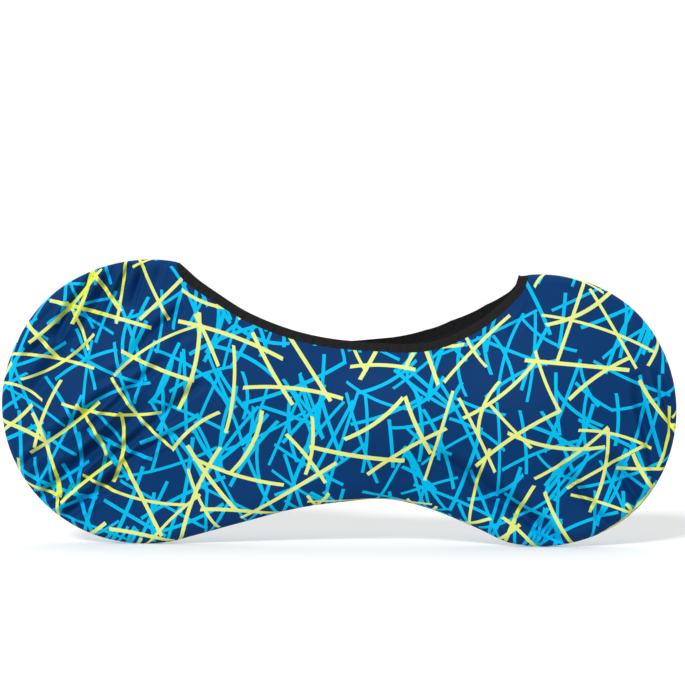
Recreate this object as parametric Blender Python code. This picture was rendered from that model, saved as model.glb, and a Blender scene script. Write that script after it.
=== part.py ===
"""Elastic bicycle cover, in the shape in which it hangs when it is on.

Two shaped side panels of stretch cloth are sewn together round the outline, round the
front pocket, along the bottom and round the rear pocket. The top between the pockets
stays open, and each panel's edge there is finished with an elastic binding.

The cover is hollow, and its form comes from a few sizes of the space inside it. Metres,
+Z up. X runs from the front pocket (-X) to the rear pocket (+X), the near side is at -Y,
and both pockets stand on z = 0.
"""

import math
from collections import namedtuple

import bmesh
import bpy
import numpy as np

# Driving dimensions.
LENGTH = 1.705
FRONT_RADIUS = 0.356  # of the front pocket, which is the slacker one
REAR_RADIUS = 0.344
CLOTH = 0.0015  # thickness of the stretch cloth
BINDING = 0.0024  # thickness of the folded elastic binding
BINDING_WIDTH = 0.0215  # as it shows in the middle of the mouth
BINDING_SPREAD = 0.0035  # it lies flatter towards its ends, and shows this much wider
SPREAD_REACH = 0.22
FRONT_END_WIDTH = 0.011  # it is gathered to this at its front end,
GATHER_REACH = 0.035  # over this length
PIECE_GAP = 0.0003  # between two sewn pieces
RIM_HALF_WIDTH = 0.026  # each pocket's rim is rounded with this radius
KEEL_WIDTH = 0.060  # the round at the free bottom seam between the pockets is wider,
KEEL_HEIGHT = 0.030  # and this deep
KEEL_FROM = -0.380  # it fades in between these two places, over this length,
KEEL_TO = 0.380
KEEL_FADE = 0.28
KEEL_TOP = 0.140  # and fades out upwards from here over this height
KEEL_RISE = 0.160
BELLY_RISE = 0.080  # distance from the seam over which the cloth reaches its belly
BINDING_LEAN = 0.002  # how far the elastic draws the top edge inwards
BINDING_TURN = 0.040  # the length over which each end turns to lie along the seam

# Each pocket's outline is a circle's arc, but for one place where the cloth stands off it.
Peak = namedtuple("Peak", "turn spread height")
Pocket = namedtuple("Pocket", "centre radius mouth_turn waist_turn peak")
FRONT = Pocket(
    centre=np.array([-LENGTH / 2 + FRONT_RADIUS, FRONT_RADIUS]),
    radius=FRONT_RADIUS,
    mouth_turn=math.radians(76.6),
    waist_turn=math.radians(-73.8),
    peak=Peak(math.radians(84), 0.285, 0.0085),
)
REAR = Pocket(
    centre=np.array([LENGTH / 2 - REAR_RADIUS, REAR_RADIUS]),
    radius=REAR_RADIUS,
    mouth_turn=math.radians(95.7),
    waist_turn=math.radians(-108.8),
    peak=Peak(math.radians(-44), 0.40, 0.0060),
)

# The bottom seam between the pockets, from the front one to the rear one.
Point = namedtuple("Point", "x z")
WAIST = (
    Point(-0.252, 0.0556),
    Point(-0.101, 0.0942),
    Point(0.040, 0.1150),
    Point(0.105, 0.1195),
    Point(0.165, 0.1110),
    Point(0.251, 0.0838),
    Point(0.352, 0.0405),
)

# The near panel's top edge, where the binding starts, from the front to the rear.
MOUTH = (
    Point(-0.4060, 0.6820),
    Point(-0.3850, 0.6573),
    Point(-0.3305, 0.6199),
    Point(-0.2361, 0.5639),
    Point(-0.1260, 0.5215),
    Point(-0.0200, 0.4990),
    Point(0.0950, 0.4905),
    Point(0.1883, 0.4890),
    Point(0.2512, 0.4989),
    Point(0.3141, 0.5245),
    Point(0.3770, 0.5626),
    Point(0.4399, 0.6196),
    Point(0.4640, 0.6510),
)

# The far panel's edge sits higher than the near one's by this much.
Lift = namedtuple("Lift", "x height")
FAR_LIFT = (
    Lift(0.03, 0.000),
    Lift(0.14, 0.016),
    Lift(0.22, 0.031),
    Lift(0.29, 0.036),
    Lift(0.38, 0.026),
    Lift(0.44, 0.005),
    Lift(0.47, 0.000),
)

# What the cover is stretched over pushes each side out by these soft bumps.
Bulge = namedtuple("Bulge", "x z spread_x spread_z height")
BULGES = (
    Bulge(*FRONT.centre, 0.190, 0.190, 0.033),  # the middle of the front pocket
    Bulge(*REAR.centre, 0.185, 0.185, 0.042),  # the middle of the rear pocket
    Bulge(0.150, 0.310, 0.200, 0.150, 0.046),  # the widest place, between the pockets
    Bulge(-0.160, 0.400, 0.160, 0.150, 0.016),  # under the front half of the mouth
)

# Troughs that the slack of the cloth falls into, each along a straight line.
Fold = namedtuple("Fold", "x_from z_from x_to z_to half_width depth")
NEAR_FOLDS = (
    # over the front pocket, in a fan that opens to the top
    Fold(-0.488, 0.705, -0.580, 0.545, 0.019, 0.007),
    Fold(-0.545, 0.700, -0.655, 0.530, 0.020, 0.012),
    Fold(-0.620, 0.675, -0.735, 0.500, 0.020, 0.010),
    Fold(-0.680, 0.520, -0.785, 0.370, 0.020, 0.010),
    Fold(-0.395, 0.605, -0.520, 0.490, 0.021, 0.007),
    Fold(-0.430, 0.470, -0.755, 0.235, 0.020, 0.010),
    Fold(-0.340, 0.415, -0.735, 0.140, 0.023, 0.014),
    Fold(-0.405, 0.330, -0.665, 0.125, 0.021, 0.010),
    Fold(-0.520, 0.185, -0.660, 0.090, 0.020, 0.007),
    # from the widest place down under the rear pocket
    Fold(0.215, 0.250, 0.590, -0.010, 0.032, 0.013),
    # down the back of the rear pocket
    Fold(0.740, 0.415, 0.792, 0.160, 0.020, 0.009),
    Fold(0.670, 0.230, 0.745, 0.090, 0.019, 0.008),
    Fold(0.580, 0.245, 0.680, 0.020, 0.022, 0.008),
)
FAR_FOLDS = (
    Fold(-0.570, 0.690, -0.700, 0.480, 0.028, 0.008),
    Fold(-0.400, 0.440, -0.720, 0.190, 0.030, 0.010),
    Fold(-0.440, 0.260, -0.640, 0.110, 0.027, 0.007),
    Fold(0.240, 0.240, 0.570, 0.020, 0.032, 0.010),
    Fold(0.600, 0.320, 0.740, 0.110, 0.027, 0.008),
)

# Each panel's grid has its corners on the round pockets, this far from the level.
CORNER = math.radians(45)
NEAR_STEP = 0.028  # size of the near panel's cells, which show more folds
FAR_STEP = 0.038
MOUTH_STEP = 0.040  # the cells are longer where the cloth is taut, under the mouth
SEAM_STEPS = (0.003, 0.006, 0.009, 0.013, 0.019, 0.026)  # first steps in from a seam
MOUTH_STEPS = (0.010, 0.014, 0.020, 0.028)  # first steps along the mouth from its ends
BINDING_ROWS = 2
SAMPLE = 0.002  # spacing of the points that a curve is read at
STEER = 0.1  # radians of a pocket's arc that steer a curve that leaves it
MOUTH_STEER = 0.018  # height of the point that steers the mouth's ends
FOLD_END = 0.6  # power by which a fold fades at its ends
SHARP = math.radians(50)  # an edge that turns further than this is shaded sharp


def along(points):
    """The distance along a line of points, at each of them."""
    steps = np.linalg.norm(np.diff(points, axis=0), axis=1)
    return np.concatenate([[0.0], np.cumsum(steps)])


def at(points, distance):
    """The place on a line of points at that distance along it."""
    measure = along(points)
    return np.stack([np.interp(distance, measure, points[:, k]) for k in (0, 1)], axis=-1)


def on_pocket(pocket, turn):
    """The point of a pocket's outline at an angle, or at each of several angles."""
    off = (turn - pocket.peak.turn + math.pi) % (2 * math.pi) - math.pi
    radius = pocket.radius + pocket.peak.height * np.exp(-((off / pocket.peak.spread) ** 2))
    x = pocket.centre[0] + radius * np.cos(turn)
    z = pocket.centre[1] + radius * np.sin(turn)
    return np.stack([x, z], axis=-1)


def pocket_edge(pocket, start, end):
    """Closely spaced points of a pocket's outline between two angles."""
    count = max(2, int(abs(end - start) * pocket.radius / SAMPLE))
    return on_pocket(pocket, np.linspace(start, end, count))


def curve_through(points):
    """A smooth curve through points. The first and the last only steer its two ends."""
    points = np.array(points)
    pieces = []
    for a, b, c, d in zip(points, points[1:], points[2:], points[3:]):
        step = np.linalg.norm(c - b)
        t = np.linspace(0, 1, max(2, int(step / SAMPLE)), endpoint=False)[:, None]
        leave = (c - a) * step / np.linalg.norm(c - a)
        arrive = (d - b) * step / np.linalg.norm(d - b)
        pieces.append(
            (2 * t**3 - 3 * t**2 + 1) * b
            + (t**3 - 2 * t**2 + t) * leave
            + (-2 * t**3 + 3 * t**2) * c
            + (t**3 - t**2) * arrive
        )
    return np.concatenate([*pieces, points[-2:-1]])


def smooth(t):
    """0 to 1 with soft ends."""
    t = np.clip(t, 0.0, 1.0)
    return t * t * (3 - 2 * t)


def mouth_line(lifts=()):
    """The line where panel and binding meet, raised by a side's own lifts."""
    first = on_pocket(FRONT, FRONT.mouth_turn)
    last = on_pocket(REAR, REAR.mouth_turn)
    above = np.array([0.0, MOUTH_STEER])
    line = curve_through([first + above, first, *MOUTH, last, last + above])
    if lifts:
        height = [lift.height for lift in lifts]
        line[:, 1] += np.interp(line[:, 0], [lift.x for lift in lifts], height)
    return line


def waist_line():
    """The bottom seam between the pockets, which leaves each one smoothly."""
    leaving = on_pocket(FRONT, FRONT.waist_turn + np.array([-STEER, 0.0]))
    joining = on_pocket(REAR, REAR.waist_turn + np.array([0.0, STEER]))
    return curve_through([*leaving, *WAIST, *joining])


# The whole outline, anticlockwise from the front tip of the mouth. Its last stretch is
# the straight line over the mouth that a closed cover would have.
FRONT_TIP = FRONT.mouth_turn - FRONT_END_WIDTH / FRONT_RADIUS
REAR_TIP = REAR.mouth_turn + (BINDING_WIDTH + BINDING_SPREAD) / REAR_RADIUS
FRONT_ARC = pocket_edge(FRONT, FRONT_TIP, FRONT.waist_turn + 2 * math.pi)
REAR_ARC = pocket_edge(REAR, REAR.waist_turn, REAR_TIP)
CLOSED = np.concatenate([FRONT_ARC, waist_line()[1:-1], REAR_ARC, FRONT_ARC[:1]])


def to_outline(point):
    """Distance to the outline and the direction out to it."""
    start, step = CLOSED[:-1], np.diff(CLOSED, axis=0)
    away = point - start
    share = np.clip((away * step).sum(1) / (step * step).sum(1), 0.0, 1.0)
    gaps = np.linalg.norm(away - share[:, None] * step, axis=1)
    k = int(gaps.argmin())
    return float(gaps[k]), np.array([step[k, 1], -step[k, 0]]) / np.linalg.norm(step[k])


def keel(x, z):
    """1 along the bottom seam between the pockets, 0 at the pockets and higher up."""
    between = (x - KEEL_FROM) * (KEEL_TO - x) / KEEL_FADE**2
    return float(smooth(between) * (1 - smooth((z - KEEL_TOP) / KEEL_RISE)))


def belly(x, z):
    """How far the cloth is pushed out from the rim's width."""
    total = 0.0
    for b in BULGES:
        total += b.height * math.exp(-(((x - b.x) / b.spread_x) ** 2) - ((z - b.z) / b.spread_z) ** 2)
    return total


def fold_depth(x, z, folds):
    """How far all troughs together draw the cloth in."""
    total = 0.0
    for f in folds:
        run_x, run_z = f.x_to - f.x_from, f.z_to - f.z_from
        length = math.hypot(run_x, run_z)
        t = ((x - f.x_from) * run_x + (z - f.z_from) * run_z) / length**2
        across = ((x - f.x_from) * run_z - (z - f.z_from) * run_x) / length
        if 0 < t < 1:
            total += f.depth * math.sin(math.pi * t) ** FOLD_END * math.exp(-((across / f.half_width) ** 2))
    return total


def hung(place, outer, side, folds, on_seam, thickness, lean=0.0):
    """The place in space of a point of the cloth. side is -1 near and +1 far."""
    gap, out = to_outline(place)
    if on_seam:
        gap = 0.0
    free = keel(*place)
    width = RIM_HALF_WIDTH + free * (KEEL_WIDTH - RIM_HALF_WIDTH)
    height = RIM_HALF_WIDTH + free * (KEEL_HEIGHT - RIM_HALF_WIDTH)
    flat = 1 - min(gap, width) / width  # 1 at the seam, 0 where the round ends
    rise = math.sqrt(1 - flat * flat)
    inside = 1 - math.exp(-((gap / BELLY_RISE) ** 2))
    reach = height * rise + inside * (belly(*place) - fold_depth(*place, folds) - lean)
    x, z = place
    if not outer:
        x -= thickness * flat * out[0]
        z -= thickness * flat * out[1]
        reach -= thickness * rise
    return x, side * (reach + PIECE_GAP / 2), z


def stations(length, step, first, last):
    """Distances from 0 to length, in even steps but for the given ones in from each end."""
    start = np.concatenate([[0.0], np.cumsum(first)])
    end = length - np.concatenate([[0.0], np.cumsum(last)])[::-1]
    count = max(1, round((end[0] - start[-1]) / step))
    middle = np.linspace(start[-1], end[0], count + 1)[1:-1]
    return np.concatenate([start, middle, end])


def panel_edges(mouth):
    """The four edges of a panel, each as pieces that run in the grid's own direction."""
    up_left, down_left = math.pi - CORNER, CORNER - math.pi
    bottom = np.concatenate([
        pocket_edge(FRONT, down_left, FRONT.waist_turn)[:-1],
        waist_line()[:-1],
        pocket_edge(REAR, REAR.waist_turn, -CORNER),
    ])
    top = (
        pocket_edge(FRONT, up_left, FRONT.mouth_turn),
        mouth,
        pocket_edge(REAR, REAR.mouth_turn, CORNER),
    )
    left = pocket_edge(FRONT, 2 * math.pi + down_left, up_left)
    right = pocket_edge(REAR, -CORNER, CORNER)
    return bottom, top, left, right


def panel_grid(mouth, step):
    """A panel's numbers of columns and rows, and what gives each grid point's place."""
    bottom, top, left, right = panel_edges(mouth)
    lengths = [along(line)[-1] for line in top]
    front = stations(lengths[0], step, SEAM_STEPS, ())
    middle = stations(lengths[1], MOUTH_STEP, MOUTH_STEPS, MOUTH_STEPS)
    rear = stations(lengths[2], step, (), SEAM_STEPS)
    columns = [(0, s) for s in front[:-1]] + [(1, s) for s in middle[:-1]] + [(2, s) for s in rear]
    rows = stations(along(left)[-1], step, SEAM_STEPS, SEAM_STEPS)
    rows = rows / rows[-1]
    # The bottom edge is shared out like the top one, with its own length for each piece.
    whole = along(bottom)[-1]
    front_share = FRONT_RADIUS * (FRONT.waist_turn + math.pi - CORNER)
    rear_share = REAR_RADIUS * (-CORNER - REAR.waist_turn)
    knots = [0.0, front_share, whole - rear_share, whole]

    def place(i, j):
        part, s = columns[i]
        u = (sum(lengths[:part]) + s) / sum(lengths)
        v = rows[j]
        low = at(bottom, knots[part] + (knots[part + 1] - knots[part]) * s / lengths[part])
        high = at(top[part], s)
        front_end = at(left, v * along(left)[-1])
        rear_end = at(right, v * along(right)[-1])
        front_chord = (1 - v) * left[0] + v * left[-1]
        rear_chord = (1 - v) * right[0] + v * right[-1]
        bulge = (1 - u) * (front_end - front_chord) + u * (rear_end - rear_chord)
        return (1 - v) * low + v * high + bulge

    def on_seam(i, j):
        part, s = columns[i]
        at_top = j == len(rows) - 1
        open_edge = part == 1 and s > 0
        return i in (0, len(columns) - 1) or j == 0 or (at_top and not open_edge)

    return len(columns), len(rows), place, on_seam


def binding_width(s, length):
    """How wide the binding shows at that distance from its front end."""
    spread = BINDING_SPREAD * (1 - smooth(min(s, length - s) / SPREAD_REACH))
    full = BINDING_WIDTH + BINDING_SPREAD
    gathered = (full - FRONT_END_WIDTH) * (1 - smooth(s / GATHER_REACH))
    return BINDING_WIDTH + spread - gathered


def binding_grid(mouth):
    """A binding's numbers of columns and rows, and what gives each grid point's place."""
    length = along(mouth)[-1]
    columns = stations(length, MOUTH_STEP, MOUTH_STEPS, MOUTH_STEPS)

    def end_direction(corner, outline_point):
        return (outline_point - corner) / np.linalg.norm(outline_point - corner)

    to_front_tip = end_direction(mouth[0], FRONT_ARC[0])
    to_rear_tip = end_direction(mouth[-1], REAR_ARC[-1])

    def place(i, j):
        s = columns[i]
        step = at(mouth, min(s + SAMPLE, length)) - at(mouth, max(s - SAMPLE, 0.0))
        up = np.array([-step[1], step[0]]) / np.linalg.norm(step)
        up = to_front_tip + (up - to_front_tip) * smooth(s / BINDING_TURN)
        up = to_rear_tip + (up - to_rear_tip) * smooth((length - s) / BINDING_TURN)
        width = PIECE_GAP + (binding_width(s, length) - PIECE_GAP) * j / BINDING_ROWS
        return at(mouth, s) + width * up / np.linalg.norm(up)

    def on_seam(i, j):
        return i in (0, len(columns) - 1)

    return len(columns), BINDING_ROWS + 1, place, on_seam


def cloth_solid(name, grid, side, folds, thickness, lean, material):
    """A flat slab of cloth, laid out as a grid, whose points are moved to where it hangs."""
    count_x, count_z, place, on_seam = grid
    bm = bmesh.new()
    bmesh.ops.create_grid(bm, x_segments=count_x - 1, y_segments=count_z - 1, size=1.0)
    made = bmesh.ops.extrude_face_region(bm, geom=bm.faces[:])
    outer = {v for v in made["geom"] if isinstance(v, bmesh.types.BMVert)}
    for v in bm.verts:
        i = round((v.co.x + 1) / 2 * (count_x - 1))
        j = round((v.co.y + 1) / 2 * (count_z - 1))
        lean_here = lean * (j / (count_z - 1)) ** 2
        v.co = hung(place(i, j), v in outer, side, folds, on_seam(i, j), thickness, lean_here)
    bmesh.ops.recalc_face_normals(bm, faces=bm.faces[:])
    if bm.calc_volume(signed=True) < 0:
        bmesh.ops.reverse_faces(bm, faces=bm.faces[:])
    mesh = bpy.data.meshes.new(name)
    bm.to_mesh(mesh)
    bm.free()
    mesh.shade_smooth()
    mesh.set_sharp_from_angle(angle=SHARP)
    mesh.materials.append(material)
    return bpy.data.objects.new(name, mesh)


def cloth_material(name, colour, roughness):
    """A plain finish for one kind of cloth."""
    material = bpy.data.materials.new(name)
    material.use_nodes = True
    shader = material.node_tree.nodes["Principled BSDF"]
    shader.inputs["Base Color"].default_value = (*colour, 1.0)
    shader.inputs["Roughness"].default_value = roughness
    shader.inputs["Metallic"].default_value = 0.0
    return material


def main():
    """Builds both sides of the cover in an empty scene."""
    for old in list(bpy.data.objects):
        bpy.data.objects.remove(old)
    cover = bpy.data.collections.new("bicycle_cover")
    bpy.context.scene.collection.children.link(cover)
    printed = cloth_material("printed_stretch_cloth", (0.010, 0.045, 0.162), 0.72)
    elastic = cloth_material("elastic_binding", (0.006, 0.006, 0.006), 0.85)
    for name, side, folds, lifts, step in (
        ("near", -1, NEAR_FOLDS, (), NEAR_STEP),
        ("far", 1, FAR_FOLDS, FAR_LIFT, FAR_STEP),
    ):
        mouth = mouth_line(lifts)
        grid = panel_grid(mouth, step)
        panel = cloth_solid(f"panel_{name}", grid, side, folds, CLOTH, 0.0, printed)
        binding = cloth_solid(
            f"binding_{name}", binding_grid(mouth), side, folds, BINDING, BINDING_LEAN, elastic
        )
        cover.objects.link(panel)
        cover.objects.link(binding)


main()
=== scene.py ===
"""Looks of the elastic bicycle cover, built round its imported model.

Each solid is replaced by a finer piece on nearly the same surface: two thin printed panels
with the creases of loose stretch cloth, and the elastic bindings with their stitches.
Metres, +Z up. The front pocket is at -X, and the near side, which shows, is at -Y.
"""

import math
from collections import namedtuple

import bmesh
import bpy
import numpy as np
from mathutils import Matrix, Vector


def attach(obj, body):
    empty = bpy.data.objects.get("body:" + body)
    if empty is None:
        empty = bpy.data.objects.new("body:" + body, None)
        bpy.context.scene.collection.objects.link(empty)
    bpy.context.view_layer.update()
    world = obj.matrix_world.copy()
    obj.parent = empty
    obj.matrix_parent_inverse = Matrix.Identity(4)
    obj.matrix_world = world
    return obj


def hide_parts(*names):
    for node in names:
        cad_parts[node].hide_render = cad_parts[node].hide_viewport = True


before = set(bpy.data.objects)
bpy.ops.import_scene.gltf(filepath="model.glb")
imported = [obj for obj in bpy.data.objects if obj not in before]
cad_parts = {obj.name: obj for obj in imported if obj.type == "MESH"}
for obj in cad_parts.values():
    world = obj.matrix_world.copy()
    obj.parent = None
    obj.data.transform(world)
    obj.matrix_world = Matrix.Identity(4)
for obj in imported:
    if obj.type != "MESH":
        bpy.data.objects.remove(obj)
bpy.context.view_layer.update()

# Sizes of the cover. They are its solids' sizes, but for the pockets' peaks, the waist and
# the binding's ends, which are placed more finely here, by 7 mm at the most.
LENGTH = 1.705
FRONT_RADIUS = 0.356
REAR_RADIUS = 0.344
BINDING_WIDTH = 0.0215
BINDING_SPREAD = 0.0040  # it shows this much wider at its front end, where it lies flatter
SPREAD_REACH = 0.22
PIECE_GAP = 0.0003  # between two sewn pieces
RIM_HALF_WIDTH = 0.026  # each pocket's rim is rounded with this radius
KEEL_WIDTH = 0.060  # the round at the free bottom seam between the pockets is wider,
KEEL_HEIGHT = 0.030  # and this deep
KEEL_FROM = -0.380  # it fades in between these two places, over this length,
KEEL_TO = 0.380
KEEL_FADE = 0.28
KEEL_TOP = 0.140  # and fades out upwards from here over this height
KEEL_RISE = 0.160
BELLY_RISE = 0.080  # distance from the seam over which the cloth reaches its belly
BINDING_LEAN = 0.002  # how far the elastic draws the top edge inwards
FOLD_END = 0.6  # power by which a fold fades at its ends
MOUTH_STEER = 0.018  # height of the point that steers the mouth's ends
STEER = 0.1  # radians of a pocket's arc that steer a curve that leaves it

# Sizes that only show from close up.
CLOTH = 0.0010  # thickness of the knit
BINDING = 0.0024  # and of the folded elastic
SAMPLE = 0.002  # spacing of the points that a curve is read at
ON_SEAM = 1e-4  # a place this near the outline lies on its seam
WELD = 1e-6  # points this near each other are one
POCKET_CELL = 0.0055  # of a panel's mesh over the pockets, where the creases are
MIDDLE_CELL = 0.0095
MOUTH_END_CELLS = (0.003, 0.003, 0.004, 0.005, 0.006)
OPEN_EDGE_FADE = 0.060  # from a mouth's end to where the cells reach its edge evenly
ROWS = 58  # of cells from the spine line between the pockets' middles out to the rim
RIM_TURNS = (0, 3, 6, 10, 15, 22, 31, 42, 54, 67, 80)  # degrees round the rim, from the seam
SPINE_SHARE = 0.5  # how far the spine line reaches into each pocket
SEAM_GROOVE = 0.0011
SEAM_GROOVE_WIDTH = 0.0022
TUCK = 0.003  # how far the panel's edge reaches up inside the folded binding
TUCK_IN = 0.0006  # how far it lies in from its surface there
FRONT_END_WIDTH = 0.0045  # of the binding along the seam: it is gathered to a point there
FRONT_TURN = 0.060  # from the front end to where it has its full width
REAR_END_WIDTH = 0.0235
REAR_TURN = 0.035
REAR_CORNER_RISE = 0.0035  # how far the elastic's corner stands up from the seam
BINDING_STAND = 0.0007  # how far the binding stands proud of the cloth
ELASTIC_RIPPLE = 0.0007  # height of the ripples that the elastic draws along the mouth
RIPPLE_REACH = 0.018  # how far they run from its lower edge
RIPPLE_ENDS = 0.05  # over which they fade at the mouth's ends
OUT_FADE = 0.005  # from the seam to where the binding's own place counts in full
BINDING_CELL = 0.0026
BINDING_ROWS = 8
BINDING_EDGE = 0.0009  # radius of the elastic's rolled edges
STITCH_LOW = 0.0014  # the zigzag stitch runs between these two heights on the binding
STITCH_HIGH = 0.0052
STITCH_STEP = 0.0020  # along the edge from one needle hole to the next
STITCH_START = 0.008  # from the binding's end to its first stitch
THREAD = 0.00045  # the thread is 0.3 mm thick and is drawn a little thicker
PUCKER = 0.0011  # height of the ripples along the outline seam
PUCKER_FROM = 0.010  # from the seam to the ripples' full height
PUCKER_START = 0.006  # over which they grow at the seam
PUCKER_REACH = 0.016  # and over which they fade further in
PUCKER_WAVES = (0.034, 0.0213)  # lengths of the two waves that make up the ripples
PUCKER_BEAT = 0.41  # length over which they grow and shrink along it
ELASTIC_WAVES = (0.027, 0.0171)  # the same two for the mouth
RIDGE = 0.34  # height of the ridges beside a crease, as a share of its depth
RIDGE_PLACE = 1.8  # of their tops, in half widths from the crease's line
RIDGE_WIDTH = math.sqrt(0.5)
LEANING = 0.28  # how far a crease leans over: its upper side is the wider one
CREASE_FADE = 0.009  # from the rim to a crease's full depth
SHADE_SPREAD = 2.2  # how much wider than a crease the painted shade beside it reaches
FULL_SHADE_DEPTH = 0.023  # depth of the creases near a place at which its painted shade is full

# The real patterns are too fine to show, so each is drawn as coarse as this.
LOOP = 0.001613  # the knit's loops are 0.6 mm
LOOP_BACK = 0.0020  # and so are their backs on the inside
RIB = 0.0020  # the elastic's ribs are 0.8 mm apart
FLOAT = 0.001429  # the floats of its weave are 0.5 mm long
TWIST = 0.0008  # the thread's twist is 0.5 mm long
SWELL = 0.03846  # the hung cloth's slow unevenness, which is drawn at its own size

# A pocket's outline is a circle's arc with low peaks, and a flat stretch is a peak inwards.
Peak = namedtuple("Peak", "turn spread height")
Pocket = namedtuple("Pocket", "centre radius mouth_turn waist_turn peaks")
FRONT = Pocket(
    np.array([-LENGTH / 2 + FRONT_RADIUS, FRONT_RADIUS]),
    FRONT_RADIUS,
    math.radians(76.6),
    math.radians(-73.8),
    (
        Peak(math.radians(70), 0.424, 0.0105),
        Peak(math.radians(155), 0.30, -0.0032),
        Peak(math.radians(-75), 0.20, 0.0028),
    ),
)
REAR = Pocket(
    np.array([LENGTH / 2 - REAR_RADIUS, REAR_RADIUS]),
    REAR_RADIUS,
    math.radians(95.7),
    math.radians(-104),
    (
        Peak(math.radians(-44), 0.40, 0.0045),
        Peak(math.radians(46), 0.30, 0.0025),
    ),
)

Point = namedtuple("Point", "x z")
WAIST = (
    Point(-0.252, 0.0522),
    Point(-0.101, 0.0919),
    Point(0.040, 0.1120),
    Point(0.105, 0.1168),
    Point(0.165, 0.1105),
    Point(0.251, 0.0858),
    Point(0.352, 0.0442),
)
MOUTH = (
    Point(-0.4060, 0.6820),
    Point(-0.3850, 0.6573),
    Point(-0.3305, 0.6199),
    Point(-0.2361, 0.5639),
    Point(-0.1260, 0.5215),
    Point(-0.0200, 0.4990),
    Point(0.0950, 0.4905),
    Point(0.1883, 0.4890),
    Point(0.2512, 0.4989),
    Point(0.3141, 0.5245),
    Point(0.3770, 0.5626),
    Point(0.4399, 0.6196),
    Point(0.4640, 0.6510),
)
Lift = namedtuple("Lift", "x height")
FAR_LIFT = (
    Lift(0.03, 0.000),
    Lift(0.14, 0.016),
    Lift(0.22, 0.031),
    Lift(0.29, 0.036),
    Lift(0.38, 0.026),
    Lift(0.44, 0.005),
    Lift(0.47, 0.000),
)
Bulge = namedtuple("Bulge", "x z spread_x spread_z height")
BULGES = (
    Bulge(*FRONT.centre, 0.190, 0.190, 0.033),
    Bulge(*REAR.centre, 0.185, 0.185, 0.042),
    Bulge(0.150, 0.310, 0.200, 0.150, 0.046),
    Bulge(-0.160, 0.400, 0.160, 0.150, 0.016),
)

# The folds that the solids have, and below them the finer creases that only show here.
Fold = namedtuple("Fold", "x_from z_from x_to z_to half_width depth")
NEAR_FOLDS = (
    Fold(-0.488, 0.705, -0.580, 0.545, 0.019, 0.007),
    Fold(-0.545, 0.700, -0.655, 0.530, 0.020, 0.012),
    Fold(-0.620, 0.675, -0.735, 0.500, 0.020, 0.010),
    Fold(-0.680, 0.520, -0.785, 0.370, 0.020, 0.010),
    Fold(-0.395, 0.605, -0.520, 0.490, 0.021, 0.007),
    Fold(-0.430, 0.470, -0.755, 0.235, 0.020, 0.010),
    Fold(-0.340, 0.415, -0.735, 0.140, 0.023, 0.014),
    Fold(-0.405, 0.330, -0.665, 0.125, 0.021, 0.010),
    Fold(-0.520, 0.185, -0.660, 0.090, 0.020, 0.007),
    Fold(0.215, 0.250, 0.590, -0.010, 0.032, 0.013),
    Fold(0.740, 0.415, 0.792, 0.160, 0.020, 0.009),
    Fold(0.670, 0.230, 0.745, 0.090, 0.019, 0.008),
    Fold(0.580, 0.245, 0.680, 0.020, 0.022, 0.008),
)
FAR_FOLDS = (
    Fold(-0.570, 0.690, -0.700, 0.480, 0.028, 0.008),
    Fold(-0.400, 0.440, -0.720, 0.190, 0.030, 0.010),
    Fold(-0.440, 0.260, -0.640, 0.110, 0.027, 0.007),
    Fold(0.240, 0.240, 0.570, 0.020, 0.032, 0.010),
    Fold(0.600, 0.320, 0.740, 0.110, 0.027, 0.008),
)
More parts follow.
